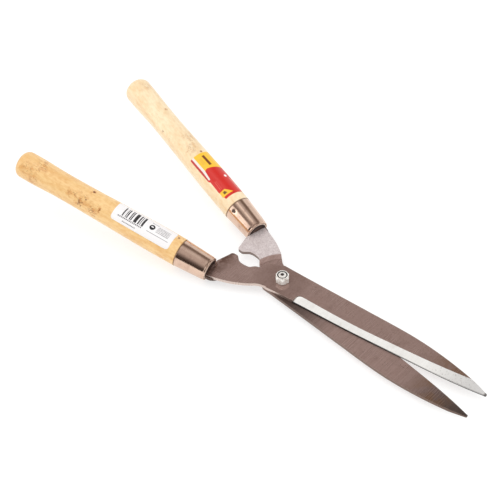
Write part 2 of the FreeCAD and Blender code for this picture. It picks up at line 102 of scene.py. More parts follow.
def grid_piece(name, points, body, close_u=False, close_v=True, uv=None):
    """A piece whose surface is a grid of points, joined round where it closes.

    points has the shape (rows, columns, 3).  The faces are turned round if the signed
    volume that they enclose comes out negative.
    """
    rows, columns = points.shape[:2]
    last_row = rows if close_u else rows - 1
    last_column = columns if close_v else columns - 1
    i, j = np.meshgrid(np.arange(last_row), np.arange(last_column), indexing="ij")
    i, j = i.ravel(), j.ravel()
    i_next, j_next = (i + 1) % rows, (j + 1) % columns
    quads = np.stack([i * columns + j, i_next * columns + j,
                      i_next * columns + j_next, i * columns + j_next], axis=1)
    flat = points.reshape(-1, 3)
    centre = flat.mean(0)
    a, b, c, d = (flat[quads[:, k]] - centre for k in range(4))
    volume = np.einsum("ij,ij->i", np.cross(a, b) + np.cross(b, c), c).sum()
    volume += np.einsum("ij,ij->i", np.cross(a, c), d).sum()
    corner_uv = None
    if uv is not None:
        i_far, j_far = i + 1, j + 1
        corners = [uv[i, j], uv[i_far, j], uv[i_far, j_far], uv[i, j_far]]
        corner_uv = np.stack(corners, axis=1)
    if volume < 0:
        quads = quads[:, ::-1]
        corner_uv = None if corner_uv is None else corner_uv[:, ::-1]
    mesh = bpy.data.meshes.new(name)
    mesh.from_pydata(flat.tolist(), [], quads.tolist())
    mesh.shade_smooth()
    if corner_uv is not None:
        layer = mesh.uv_layers.new(name="print")
        layer.data.foreach_set("uv", corner_uv.reshape(-1).astype(np.float32))
    piece = bpy.data.objects.new(name, mesh)
    bpy.context.scene.collection.objects.link(piece)
    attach(piece, body)
    return piece


def close_poles(piece):
    """Merges the points that fall together at a pole, so that the skin is closed there."""
    skin = bmesh.new()
    skin.from_mesh(piece.data)
    bmesh.ops.remove_doubles(skin, verts=skin.verts, dist=1e-7)
    skin.to_mesh(piece.data)
    skin.free()


def smooth_through(x, stations):
    """A smooth curve through (x, y) stations: cubic Hermite pieces with averaged slopes."""
    xs, ys = np.array(stations).T
    slopes = np.gradient(ys, xs)
    k = np.clip(np.searchsorted(xs, x) - 1, 0, len(xs) - 2)
    step = xs[k + 1] - xs[k]
    t = (x - xs[k]) / step
    rise = (2 * t**3 - 3 * t**2 + 1) * ys[k] + (3 * t**2 - 2 * t**3) * ys[k + 1]
    lean = (t**3 - 2 * t**2 + t) * slopes[k] + (t**3 - t**2) * slopes[k + 1]
    return rise + step * lean


def hand_sanding(length, angle, phase):
    """Out-of-roundness of the wood, in mm: long shallow waves along and round the handle."""
    waves = 0.05 * np.sin(2 * angle + 0.021 * length + phase)
    waves += 0.03 * np.sin(3 * angle - 0.043 * length + 2.1 * phase)
    waves += 0.02 * np.sin(5 * angle + 0.11 * length + 0.7 * phase)
    return waves


def wood_radius(length, angle, phase):
    """Radius of the finished wood where it shows: its turned side and the sanding on it."""
    return smooth_through(length, WOOD_SIDE) + hand_sanding(length, angle, phase)


PHASE = {"right": 0.4, "left": 2.6}
BODY = {"right": "upper_half", "left": "lower_half"}


def turned_handle(grip):
    """Wooden handle: a tenon inside the ferrule, the waisted side, and the rounded butt.

    The profile runs from the tenon's centre to the centre of the butt and is carried once
    round the axis; the butt's end dips into the small cone that the lathe centre left.
    """
    start, radius, flat_r = BUTT_ROUND
    turn = np.linspace(0, math.pi / 2, 12)[1:]
    side = np.linspace(WOOD_SIDE[0][0], start, 150)
    length = np.concatenate([[2.0, 2.0, 4.0, 33.8], side,
                             start + (BUTT_FROM_MOUTH - start) * np.sin(turn),
                             np.full(3, BUTT_FROM_MOUTH), [BUTT_FROM_MOUTH - 1.1]])
    angle = np.linspace(0, 2 * math.pi, 97)
    inner = [0.0, 10.9, 12.2, 13.8]
    rounding = flat_r + (radius - flat_r) * np.cos(turn)
    face = [flat_r * 0.7, flat_r * 0.4, LATHE_MARK, 0.0]
    base = np.concatenate([inner, smooth_through(side, WOOD_SIDE), rounding, face])
    grown = base[:, None] + np.zeros_like(angle)
    shown = slice(4, 4 + len(side) + len(rounding))
    grown[shown] += hand_sanding(length[shown, None], angle[None, :], PHASE[grip.side])
    s = length[:, None] + np.zeros_like(angle)
    points = grip.place(s, grown, angle[None, :] + np.zeros_like(s))
    uv = np.stack([angle[None, :] * 14.5 + np.zeros_like(s), s], axis=2)
    piece = grid_piece(grip.side + "_handle_wood", points[:, :-1], BODY[grip.side], uv=uv)
    close_poles(piece)
    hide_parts(grip.side + "_handle")
    return piece


def plated_ferrule(grip):
    """Tapered ferrule: outer skin, rounded shoulder, rolled bead at the mouth, inner skin.

    The section is a closed loop carried round the axis.  The skin is pressed in by a small
    bell-shaped dent at the nail, and waves very slightly along its length.
    """
    skin = np.array(FERRULE_SIDE)
    taper = np.linspace(skin[-2], skin[-1], 40)[1:-1]
    rim = skin[-1] + np.array([[-0.25, 0.0], [0.0, -0.25]])
    place, ring, bead_r = LIP
    roll = np.radians(np.linspace(-60.0, 210.0, 13))
    bead = np.stack([place - bead_r * np.sin(roll), ring - bead_r * np.cos(roll)], axis=1)
    loop = np.concatenate([skin[:-1], taper, rim, FERRULE_INSIDE, bead])
    angle = np.linspace(0, 2 * math.pi, 128, endpoint=False)
    s = loop[:, :1] + np.zeros_like(angle)
    radius = loop[:, 1:] + np.zeros_like(angle)
    around = angle[None, :] + np.zeros_like(s)
    nail = math.radians(NAIL_ANGLE[grip.side])
    gap = (np.angle(np.exp(1j * (around - nail))) * 14.3) ** 2 + (s - NAIL_FROM_MOUTH) ** 2
    radius -= 0.45 * np.exp(-gap / 3.0)
    radius += 0.03 * np.sin(2 * around + 0.13 * s + PHASE[grip.side])
    points = grip.place(s, radius, around)
    piece = grid_piece(grip.side + "_ferrule_shell", points, BODY[grip.side], close_u=True)
    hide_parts(grip.side + "_ferrule")
    return piece


def glued_label(grip, name, node, start, end, first, last, near_edge, corner):
    """Paper label wrapped on the wood's own surface.

    Rows run along the handle from its far end, columns round it.  near_edge gives, in mm,
    how far a row starts from the label's first side, as (distance run, offset) stations.
    Both sides are also drawn in at the two ends along a quarter circle, which rounds the
    corners.
    """
    length = end - start
    ends = corner * (1 - np.cos(np.linspace(0, math.pi / 2, 9)))
    run = np.concatenate([ends, np.linspace(corner, length - corner, 90)[1:-1],
                          length - ends[::-1]])
    bend = np.clip(np.minimum(run, length - run) / corner, 0, 1)
    inset = corner * (1 - np.sqrt(1 - (1 - bend) ** 2))
    low = inset + np.interp(run, *np.array(near_edge).T)
    high = math.radians(last - first) * LABEL_R - inset
    across = low[:, None] + (high - low)[:, None] * np.linspace(0, 1, 49)
    angle = math.radians(first) + across / LABEL_R
    s = end - run[:, None] + np.zeros_like(across)
    radius = wood_radius(s, angle, PHASE[grip.side]) + PAPER
    uv = np.stack([run[:, None] + np.zeros_like(across), across], axis=2)
    piece = grid_piece(name, grip.place(s, radius, angle), BODY[grip.side],
                       close_v=False, uv=uv)
    face_away_from(piece, grip.place(np.array(0.5 * (start + end)), np.array(0.0),
                                     np.array(0.0)))
    paper = piece.modifiers.new("paper", "SOLIDIFY")
    paper.thickness = 0.1 * MM
    paper.offset = -1.0
    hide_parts(node)
    return piece


def face_away_from(piece, point):
    """Turns an open sheet's faces over if they look towards the point."""
    mesh = piece.data
    face = mesh.polygons[len(mesh.polygons) // 2]
    if face.normal.dot(face.center - Vector(point)) < 0:
        mesh.flip_normals()


# ---- shader nodes -----------------------------------------------------------------------------

class Web:
    """Short ways to add and join the nodes of one tree."""

    def __init__(self, tree):
        self.tree = tree

    def add(self, kind, inputs=None, **settings):
        """A new node with its settings made and its inputs fed."""
        node = self.tree.nodes.new(kind)
        for key, value in settings.items():
            setattr(node, key, value)
        for key, value in (inputs or {}).items():
            self.feed(node.inputs[key], value)
        return node

    def feed(self, socket, value):
        """Links an output to the socket, or sets the socket to a plain value."""
        if isinstance(value, bpy.types.NodeSocket):
            self.tree.links.new(value, socket)
        else:
            socket.default_value = value

    def math(self, operation, a, b=0.0, clamp=False):
        """One sum, product or comparison of two values."""
        node = self.add("ShaderNodeMath", {0: a, 1: b}, operation=operation, use_clamp=clamp)
        return node.outputs[0]

    def between(self, value, low, high, out_low=0.0, out_high=1.0):
        """Smooth step of value from low to high."""
        node = self.add("ShaderNodeMapRange",
                        {"Value": value, "From Min": low, "From Max": high,
                         "To Min": out_low, "To Max": out_high},
                        interpolation_type="SMOOTHSTEP")
        return node.outputs[0]

    def window(self, value, low, high, soft):
        """1 inside a range of value and 0 outside, over a soft border."""
        rise = self.between(value, low - soft, low + soft)
        fall = self.between(value, high - soft, high + soft, 1.0, 0.0)
        return self.math("MULTIPLY", rise, fall)

    def mix(self, factor, a, b):
        """Colour a where factor is 0 and b where it is 1."""
        node = self.add("ShaderNodeMix", data_type="RGBA")
        self.feed(node.inputs[0], factor)
        self.feed(node.inputs[6], a)
        self.feed(node.inputs[7], b)
        return node.outputs[2]

    def over(self, below, above, mask, strength):
        """Lays one colour over another where the mask is, at part of its strength."""
        return self.mix(self.math("MULTIPLY", mask, strength), below, above)

    def noise(self, vector, scale, detail=3.0, rough=0.55, lumps=0.0):
        """Value of fractal noise, about 0.5 in the middle."""
        node = self.add("ShaderNodeTexNoise",
                        {"Vector": vector, "Scale": scale, "Detail": detail,
                         "Roughness": rough, "Distortion": lumps})
        return node.outputs[0]

    def stretch(self, vector, scale, shift=(0, 0, 0)):
        """The vector scaled along its axes, then moved."""
        node = self.add("ShaderNodeMapping", {"Vector": vector, "Location": shift,
                                              "Scale": scale})
        return node.outputs[0]

    def parts(self, vector):
        return self.add("ShaderNodeSeparateXYZ", {0: vector}).outputs

    def bump(self, height, strength, distance):
        node = self.add("ShaderNodeBump", {"Height": height, "Strength": strength,
                                           "Distance": distance})
        return node.outputs[0]

    def group(self, tree, inputs):
        node = self.add("ShaderNodeGroup", node_tree=tree)
        for key, value in inputs.items():
            self.feed(node.inputs[key], value)
        return node.outputs


def new_group(name, inputs, outputs):
    """An empty node group with named sockets, and the web that fills it."""
    tree = bpy.data.node_groups.new(name, "ShaderNodeTree")
    for key, kind in inputs.items():
        tree.interface.new_socket(key, in_out="INPUT", socket_type="NodeSocket" + kind)
    for key, kind in outputs.items():
        tree.interface.new_socket(key, in_out="OUTPUT", socket_type="NodeSocket" + kind)
    web = Web(tree)
    return tree, web, web.add("NodeGroupInput").outputs, web.add("NodeGroupOutput").inputs


def linear(red, green, blue):
    """A screen colour from 0 to 255 as the linear colour that shaders take."""
    shares = np.array([red, green, blue]) / 255
    value = np.where(shares <= 0.04045, shares / 12.92, ((shares + 0.055) / 1.055) ** 2.4)
    return (*value.tolist(), 1.0)


def new_material(name):
    """A material with its Principled shader, ready to be fed."""
    material = bpy.data.materials.new(name)
    material.use_nodes = True
    web = Web(material.node_tree)
    shader = material.node_tree.nodes["Principled BSDF"]
    place = web.add("ShaderNodeTexCoord")
    return material, web, shader, place


def make_patches():
    """Soft irregular patches: low noise pushed apart into a mask."""
    tree, web, given, out = new_group(
        "patches", {"Vector": "Vector", "Scale": "Float", "From": "Float", "To": "Float"},
        {"Mask": "Float"})
    cloud = web.noise(given["Vector"], given["Scale"], 4.0, 0.6, 0.4)
    web.feed(out["Mask"], web.between(cloud, given["From"], given["To"]))
    return tree


def make_specks():
    """Small separate specks: the middles of some cells of a Voronoi pattern."""
    tree, web, given, out = new_group(
        "specks", {"Vector": "Vector", "Scale": "Float", "Size": "Float", "Share": "Float"},
        {"Mask": "Float"})
    cells = web.add("ShaderNodeTexVoronoi",
                    {"Vector": given["Vector"], "Scale": given["Scale"]})
    size = given["Size"]
    dot = web.between(cells.outputs["Distance"], size, web.math("MULTIPLY", size, 0.4))
    chosen = web.parts(cells.outputs["Color"])[0]
    kept = web.math("LESS_THAN", chosen, given["Share"])
    web.feed(out["Mask"], web.math("MULTIPLY", dot, kept))
    return tree


def make_brush_lines():
    """Fine parallel lines: noise drawn out along one axis of the vector given."""
    tree, web, given, out = new_group(
        "brush_lines", {"Vector": "Vector", "Fineness": "Float", "Length": "Float"},
        {"Value": "Float"})
    x, y, z = web.parts(given["Vector"])
    drawn = web.add("ShaderNodeCombineXYZ", {
        0: web.math("MULTIPLY", x, given["Fineness"]),
        1: web.math("DIVIDE", y, given["Length"]),
        2: web.math("DIVIDE", z, given["Length"])}).outputs[0]
    web.feed(out["Value"], web.noise(drawn, 1.0, 5.0, 0.7))
    return tree


def make_worn_edges():
    """Mask of outside edges: where the rounded normal leaves the true one."""
    tree, web, given, out = new_group(
        "worn_edges", {"Vector": "Vector", "Breadth": "Float"}, {"Mask": "Float"})
    soft = web.add("ShaderNodeBevel", samples=6)
    web.feed(soft.inputs["Radius"], given["Breadth"])
    true = web.add("ShaderNodeNewGeometry").outputs["True Normal"]
    agree = web.add("ShaderNodeVectorMath", {0: soft.outputs[0], 1: true},
                    operation="DOT_PRODUCT").outputs["Value"]
    edge = web.between(agree, 0.995, 0.90)
    broken = web.between(web.noise(given["Vector"], 260.0, 3.0), 0.30, 0.62)
    web.feed(out["Mask"], web.math("MULTIPLY", edge, broken))
    return tree


def make_stamp():
    """Printed bar or block: a mask over a rectangle of the label, from corner to corner."""
    tree, web, given, out = new_group(
        "stamp", {"Vector": "Vector", "Low": "Vector", "High": "Vector", "Soft": "Float"},
        {"Mask": "Float"})
    x, y, _ = web.parts(given["Vector"])
    low_x, low_y, _ = web.parts(given["Low"])
    high_x, high_y, _ = web.parts(given["High"])
    soft = given["Soft"]
    sides = []
    for value, low, high in ((x, low_x, high_x), (y, low_y, high_y)):
        inside = web.math("MINIMUM", web.math("SUBTRACT", value, low),
                          web.math("SUBTRACT", high, value))
        sides.append(web.between(inside, web.math("MULTIPLY", soft, -1.0), soft))
    web.feed(out["Mask"], web.math("MULTIPLY", *sides))
    return tree


PATCHES = make_patches()
SPECKS = make_specks()
BRUSH_LINES = make_brush_lines()
WORN_EDGES = make_worn_edges()
STAMP = make_stamp()


# ---- wood -------------------------------------------------------------------------------------

def make_birch():
    """Birch turned along Z, in metres: rings, fibre streaks, pores and soft stains."""
    tree, web, given, out = new_group(
        "birch", {"Vector": "Vector", "Light": "Color", "Deep": "Color", "Stain": "Color"},
        {"Color": "Color", "Height": "Float", "Gloss": "Float"})
    vector = given["Vector"]
    drift = web.noise(web.stretch(vector, (30, 30, 5)), 1.0, 2.0)
    x, y, _ = web.parts(vector)
    plank = web.math("ADD", web.math("MULTIPLY", x, 330.0), web.math("MULTIPLY", drift, 9.0))
    plank = web.math("ADD", plank, web.math("MULTIPLY", y, 90.0))
    rings = web.math("SINE", web.math("MULTIPLY", plank, 2.2))
    rings = web.between(rings, -0.4, 1.0)
    fibre = web.noise(web.stretch(vector, (1500, 1500, 38)), 1.0, 4.0, 0.65)
    flame = web.noise(web.stretch(vector, (70, 70, 26)), 1.0, 5.0, 0.65, 0.8)
    curl = web.noise(web.stretch(vector, (420, 420, 210)), 1.0, 3.0, 0.6)
    tone = web.math("ADD", web.math("MULTIPLY", rings, 0.14),
                    web.math("MULTIPLY", web.between(flame, 0.36, 0.68), 0.50))
    tone = web.math("ADD", tone, web.math("MULTIPLY", web.between(curl, 0.35, 0.68), 0.42))
    tone = web.math("ADD", tone, web.math("MULTIPLY", web.between(fibre, 0.3, 0.7), 0.20))
    tone = web.math("SUBTRACT", tone, 0.22, clamp=True)
    colour = web.mix(tone, given["Light"], given["Deep"])
    stain = web.group(PATCHES, {"Vector": web.stretch(vector, (1, 1, 0.45)), "Scale": 55.0,
                                "From": 0.60, "To": 0.80})["Mask"]
    colour = web.mix(web.math("MULTIPLY", stain, 0.55), colour, given["Stain"])
    pores = web.group(SPECKS, {"Vector": web.stretch(vector, (1.0, 1.0, 0.14)),
                               "Scale": 620.0, "Size": 0.22, "Share": 0.30})["Mask"]
    colour = web.mix(web.math("MULTIPLY", pores, 0.30), colour, given["Stain"])
    web.feed(out["Color"], colour)
    web.feed(out["Height"], web.math("SUBTRACT", fibre, web.math("MULTIPLY", pores, 0.4)))
    web.feed(out["Gloss"], web.between(fibre, 0.2, 0.8, 0.34, 0.46))
    return tree


BIRCH = make_birch()

def on_own_axes(web, place, grip):
    """Object coordinates turned to a handle's own axes, from its ferrule's mouth."""
    turned = web.add("ShaderNodeVectorRotate", {
        "Vector": place.outputs["Object"], "Center": tuple(grip.mouth),
        "Rotation": tuple(grip.euler())}, rotation_type="EULER_XYZ").outputs[0]
    return web.add("ShaderNodeVectorMath", {0: turned, 1: tuple(grip.mouth)},
                   operation="SUBTRACT").outputs[0]


SMALL_KNOT = 4.0              # marks with less reach than this, in mm, stay round
# flecks and knots on each handle: from the ferrule's mouth in mm, degrees from the top,
# reach in mm, and strength
FLECKS = {
    "right": [(142.3, -10.8, 3.4, 1.0), (143.6, -2.0, 2.6, 0.6), (163.0, 40.0, 6.0, 0.6),
              (156.8, 45.0, 7.0, 0.85), (150.0, 62.0, 8.0, 0.9), (145.0, 40.0, 5.0, 0.75),
              (134.4, 68.0, 9.0, 0.8), (126.7, 50.0, 5.0, 0.9), (217.0, 44.0, 12.0, 0.75),
              (208.0, 80.0, 12.0, 0.7), (205.8, 4.0, 11.0, 0.6), (41.0, -17.0, 2.4, 1.0)],
    "left": [(177.2, 19.3, 2.8, 0.85), (157.6, -63.0, 2.8, 0.9), (145.3, -65.7, 2.6, 0.8),
             (108.6, 12.8, 2.4, 1.0), (117.0, -12.0, 9.0, 0.45), (132.0, 20.0, 10.0, 0.45),
             (190.0, -150.0, 8.0, 0.6), (120.0, 150.0, 7.0, 0.6), (215.0, 20.0, 10.0, 0.5)],
}


def wood_finish(grip, light, deep, stain):
    """Clear-lacquered birch, with dark flecks gathered round the places in FLECKS."""
    material, web, shader, place = new_material(grip.side + "_birch")
    own = on_own_axes(web, place, grip)
    birch = web.group(BIRCH, {"Vector": own, "Light": light, "Deep": deep, "Stain": stain})
    end_tone = web.mix(0.55, deep, birch["Color"])
    here = place.outputs["Object"]
    drift = web.add("ShaderNodeTexNoise", {"Vector": here, "Scale": 160.0,
                                           "Detail": 3.0}).outputs["Color"]
    drift = web.stretch(drift, (0.022, 0.022, 0.022), (-0.011, -0.011, -0.011))
    ragged = web.add("ShaderNodeVectorMath", {0: here, 1: drift}, operation="ADD").outputs[0]
    near = None
    for length, angle, reach, strength in FLECKS[grip.side]:
        surface = smooth_through(np.array(length), WOOD_SIDE)
        point = grip.place(np.array(length), surface, np.array(math.radians(angle)))
        away = web.add("ShaderNodeVectorMath",
                       {0: here if reach < SMALL_KNOT else ragged, 1: tuple(point)},
                       operation="DISTANCE").outputs["Value"]
        spot = web.between(away, reach * MM, 0.25 * reach * MM, 0.0, strength)
        near = spot if near is None else web.math("MAXIMUM", near, spot)
    crumbs = web.noise(web.stretch(own, (1, 1, 0.7)), 560.0, 3.0, 0.6, 2.2)
    strokes = web.noise(web.stretch(own, (1, 1, 0.5)), 900.0, 1.0, 0.5, 1.0)
    flecks = web.math("MULTIPLY", web.between(crumbs, 0.570, 0.590),
                      web.between(strokes, 0.40, 0.46))
    flecks = web.math("MAXIMUM", flecks, web.between(strokes, 0.64, 0.66))
    smear = web.between(web.noise(web.stretch(own, (1, 1, 0.7)), 300.0, 3.0), 0.44, 0.56)
    knot = web.between(near, 0.80, 0.98)
    dark = web.math("MAXIMUM", web.math("MULTIPLY", flecks, near), knot)
    warm = web.mix(web.math("MULTIPLY", smear, web.math("MULTIPLY", near, 0.75)),
                   birch["Color"], stain)
    colour = web.mix(dark, warm, linear(124, 66, 20))
    length = web.math("MULTIPLY", web.math("ABSOLUTE", web.parts(own)[2]), 1000.0)
    toned = web.between(length, 200.0, 229.0, 0.0, 0.65)
    colour = web.mix(toned, colour, end_tone)
    end_grain = web.window(length, 229.2, 231.5, 0.6)
    colour = web.over(colour, linear(176, 122, 68), end_grain, 0.6)
    seam = web.between(length, FERRULE_LENGTH + 1.1, FERRULE_LENGTH + 0.2)
    colour = web.over(colour, linear(118, 70, 34), seam, 0.8)
    web.feed(shader.inputs["Base Color"], colour)
    web.feed(shader.inputs["Roughness"], birch["Gloss"])
    web.feed(shader.inputs["Normal"], web.bump(birch["Height"], 0.25, 0.00012))
    shader.inputs["Coat Weight"].default_value = 0.45
    shader.inputs["Coat Roughness"].default_value = 0.24
    shader.inputs["Specular IOR Level"].default_value = 0.4
    return material


# ---- metals -----------------------------------------------------------------------------------

def ferrule_finish(grip):
    """Nickel plate with a warm tint, faint drawing lines, small scuffs and dull rims."""
    material, web, shader, place = new_material(grip.side + "_nickel")
    own = on_own_axes(web, place, grip)
    lines = web.noise(web.stretch(own, (900, 900, 25)), 1.0, 3.0, 0.6)
    cloud = web.group(PATCHES, {"Vector": own, "Scale": 120.0, "From": 0.42,
                                "To": 0.75})["Mask"]
    scuffs = web.group(SPECKS, {"Vector": own, "Scale": 420.0, "Size": 0.30,
                                "Share": 0.08})["Mask"]
    length = web.math("MULTIPLY", web.math("ABSOLUTE", web.parts(own)[2]), 1000.0)
    rim = web.between(length, FERRULE_LENGTH - 1.0, FERRULE_LENGTH - 0.3)
    colour = web.mix(cloud, linear(222, 192, 172), linear(200, 168, 150))
    colour = web.over(colour, linear(120, 96, 84), scuffs, 0.5)
    colour = web.over(colour, linear(96, 74, 62), rim, 0.6)
    rough = web.math("ADD", web.between(lines, 0.3, 0.8, 0.13, 0.22),
                     web.math("MULTIPLY", cloud, 0.06))
    web.feed(shader.inputs["Base Color"], colour)
    web.feed(shader.inputs["Roughness"], rough)
    web.feed(shader.inputs["Normal"], web.bump(lines, 0.05, 0.0001))
    shader.inputs["Metallic"].default_value = 1.0
    return material


def land_and_edges(web, place, here, skin, lower):
    """Colours the upright faces: painted highlight and shade on the edges, painted shade on the cutting land."""
    x = web.parts(here)[0]
    across = web.parts(place.outputs["Normal"])[1]
    slope = web.parts(place.outputs["Normal"])[2]
    side = web.between(web.math("ABSOLUTE", slope), 0.50, 0.35)
    # painted light on the side faces: a highlight on the upper blade, shade on the lower blade
    edge = linear(112, 90, 80) if lower else linear(214, 196, 186)
    # painted shade on the upper blade's side faces along the blade, from the pivot outwards
    dull = web.between(x, 0.002, 0.016, 0.0, 0.0 if lower else 0.7)
    edge = web.mix(dull, edge, linear(110, 84, 72))
    skin = web.over(skin, edge, side, 0.85)
    # painted shade: the cutting land is made near black
    facing = web.math("MULTIPLY", across, 1.0 if lower else -1.0)
    land = web.math("MULTIPLY", web.between(facing, 0.3, 0.6),
                    web.between(x, 0.0235, 0.0255))
    return web.over(skin, linear(14, 10, 9), side, land)


def bare_arm(web, here, skin, cloud):
    """Bare sanded steel on the lower blade's arm, beyond the step."""
    x, y, _ = web.parts(here)
    flat = web.add("ShaderNodeCombineXYZ", {0: x, 1: y}).outputs[0]
    reach = web.add("ShaderNodeVectorMath", {0: flat}, operation="LENGTH")
    bare = web.math("MULTIPLY", web.between(reach.outputs["Value"], 0.0364, 0.0372),
                    web.math("LESS_THAN", x, -0.002))
    coarse = web.between(web.noise(here, 1300.0, 4.0, 0.75), 0.36, 0.64)
    dust = web.between(web.noise(here, 420.0, 4.0, 0.7), 0.44, 0.66)
    pale = web.mix(coarse, linear(190, 176, 175), linear(238, 229, 227))
    pale = web.over(pale, linear(168, 150, 148), dust, 0.45)
    pale = web.over(pale, linear(186, 168, 166), cloud, 0.20)
    return web.mix(bare, skin, pale), bare


# places along a blade, in metres from the pivot
TIP_DARKENS = (0.150, 0.232)
HEAT_STAINS = (0.180, 0.212)  # stretch with brown heat stains
PAINTED_SHADOW_BY_PIVOT = (0.085, 0.028)  # painted shadow of the upper blade: the lower blade darkens towards the pivot
ROOT_DARKENS = (-0.046, -0.066)
POINT = (0.2328, 0.2350)
EDGE_SHADOW_STRIP = (0.00128, 0.00112)    # height of the painted shadow strip along the cutting edge
RUBBED_BRIGHT = (0.036, 0.010)     # round the bolt, where the plate is smoother


def blade_skin(web, here, x, marks, lower):
    """Mottled brown-grey skin with cross-ground lines, darker at the tip and the root."""
    skin = web.mix(marks["cloud"], linear(168, 140, 131), linear(152, 123, 113))
    skin = web.over(skin, linear(120, 92, 81), marks["smudge"], 0.50)
    grain = marks["grain"]
    skin = web.mix(web.between(grain, 0.35, 0.72, 0.0, 0.52), skin, linear(186, 162, 155))
    skin = web.mix(web.between(grain, 0.46, 0.26, 0.0, 0.45), skin, linear(118, 92, 83))
    ground_share = 0.50 if lower else 0.20
    skin = web.mix(web.between(marks["lines"], 0.40, 0.62, 0.0, ground_share), skin,
                   linear(196, 168, 161))
    dark_tip = linear(60, 52, 47) if lower else linear(112, 92, 80)
    skin = web.over(skin, dark_tip, web.between(x, *TIP_DARKENS), 0.85 if lower else 0.6)
    if lower:
        # painted shadow of the upper blade on the lower one, darkest a little beyond the pivot
        painted_pivot_shadow = web.math("MULTIPLY", web.between(x, *PAINTED_SHADOW_BY_PIVOT, 0.0, 0.86),
                          web.between(x, -0.004, 0.012))
        skin = web.mix(painted_pivot_shadow, skin, linear(84, 70, 64))
    heat = web.math("MULTIPLY", web.window(x, *HEAT_STAINS, 0.012),
                    web.between(web.noise(here, 60.0), 0.40, 0.60))
    skin = web.over(skin, linear(132, 96, 62), heat, 0.5)
    root = web.math("MULTIPLY", web.between(x, *ROOT_DARKENS),
                    web.between(web.noise(here, 130.0, 4.0, 0.6, 0.5), 0.34, 0.56))
    return web.over(skin, linear(96, 66, 52), root, 0.85)


def ground_bevel(web, here, x, height, marks):
    """Bright ground steel: fine lines, smudges, flecks, and a painted shadow strip at the very edge."""
    ground = web.mix(web.between(marks["lines"], 0.3, 0.7, 0.0, 0.45),
                     linear(245, 244, 241), linear(222, 220, 216))
    ground = web.mix(web.between(x, 0.165, 0.225, 0.0, 0.65), ground, linear(206, 205, 204))
    ground = web.over(ground, linear(206, 200, 194), marks["smudge"], 0.25)
    flecked = web.math("MULTIPLY", web.window(x, 0.178, 0.222, 0.010),
                       web.between(web.noise(here, 520.0, 3.0, 0.7), 0.56, 0.64))
    ground = web.over(ground, linear(150, 146, 142), flecked, 0.45)
    # painted shadow of the gap between the blades, in a strip along the cutting edge
    strip = web.math("MULTIPLY", web.between(height, *EDGE_SHADOW_STRIP),
                     web.between(x, 0.20, 0.10, 0.35, 0.95))
    ground = web.mix(strip, ground, linear(36, 30, 28))
    return web.over(ground, linear(70, 60, 56), web.between(x, *POINT), 0.8)


def blade_finish(name, lower):
    """Heat-treated plate with a bright ground bevel.

    The bevel is found by the slope of its faces, and looks up on the upper blade and down
    on the lower one.
    """
    material, web, shader, place = new_material(name)
    here = web.add("ShaderNodeVectorMath", {0: place.outputs["Object"], 1: tuple(PIVOT)},
                   operation="SUBTRACT").outputs[0]
    x, y, z = web.parts(here)
    facing = -1.0 if lower else 1.0
    slope = web.math("MULTIPLY", web.parts(place.outputs["Normal"])[2], facing)
    bevel = web.window(slope, 0.85, 0.985, 0.006)
    shifted = web.stretch(here, (1, 1, 1), (0.3, 0.1, 0.0))
    marks = {
        "cloud": web.group(PATCHES, {"Vector": here, "Scale": 38.0, "From": 0.36,
                                     "To": 0.72})["Mask"],
        "smudge": web.group(PATCHES, {"Vector": shifted, "Scale": 90.0, "From": 0.52,
                                      "To": 0.74})["Mask"],
        "grain": web.noise(here, 900.0, 4.0, 0.7),
        "lines": web.group(BRUSH_LINES, {"Vector": here, "Fineness": 1400.0,
                                         "Length": 0.03})["Value"],
    }
    skin = blade_skin(web, here, x, marks, lower)
    if lower:
        skin, bare = bare_arm(web, here, skin, marks["cloud"])
    worn = web.group(WORN_EDGES, {"Vector": here, "Breadth": 0.0005})["Mask"]
    skin = web.over(skin, linear(232, 214, 202), worn, 0.45)
    skin = land_and_edges(web, place, here, skin, lower)
    ground = ground_bevel(web, here, x, web.math("MULTIPLY", z, facing), marks)
    web.feed(shader.inputs["Base Color"], web.mix(bevel, skin, ground))
    rough = web.math("ADD", web.between(marks["cloud"], 0.0, 1.0, 0.22, 0.30),
                     web.math("MULTIPLY", marks["lines"], 0.10))
    rough = web.math("ADD", rough, web.math("MULTIPLY", bevel, 0.08))
    plan = web.add("ShaderNodeCombineXYZ", {0: x, 1: y}).outputs[0]
    from_bolt = web.add("ShaderNodeVectorMath", {0: plan}, operation="LENGTH")
    rubbed = web.between(from_bolt.outputs["Value"], *RUBBED_BRIGHT, 1.0, 0.14)
    web.feed(shader.inputs["Roughness"], web.math("MULTIPLY", rough, rubbed))
    relief = web.math("ADD", web.math("MULTIPLY", marks["grain"], 0.4), marks["lines"])
    web.feed(shader.inputs["Normal"], web.bump(relief, 0.12, 0.0001))
    shader.inputs["Metallic"].default_value = 0.6
    if lower:
        web.feed(shader.inputs["Metallic"], web.math("SUBTRACT", 0.6,
                                                     web.math("MULTIPLY", bare, 0.45)))
    return material


def forged_finish():
    """Forged steel of the tangs: dark brown scale, bright where it is rubbed."""
    material, web, shader, place = new_material("forged_scale")
    here = place.outputs["Object"]
    cloud = web.group(PATCHES, {"Vector": here, "Scale": 140.0, "From": 0.40,
                                "To": 0.70})["Mask"]
    pits = web.group(SPECKS, {"Vector": here, "Scale": 700.0, "Size": 0.40,
                              "Share": 0.4})["Mask"]
    worn = web.group(WORN_EDGES, {"Vector": here, "Breadth": 0.0006})["Mask"]
    skin = web.mix(cloud, linear(104, 80, 70), linear(72, 52, 44))
    skin = web.over(skin, linear(50, 36, 30), pits, 0.4)
    skin = web.over(skin, linear(206, 188, 176), worn, 0.7)
    web.feed(shader.inputs["Base Color"], skin)
    web.feed(shader.inputs["Roughness"], web.between(cloud, 0.0, 1.0, 0.38, 0.52))
    web.feed(shader.inputs["Normal"], web.bump(web.noise(here, 500.0), 0.2, 0.0001))
    shader.inputs["Metallic"].default_value = 0.8
    return material


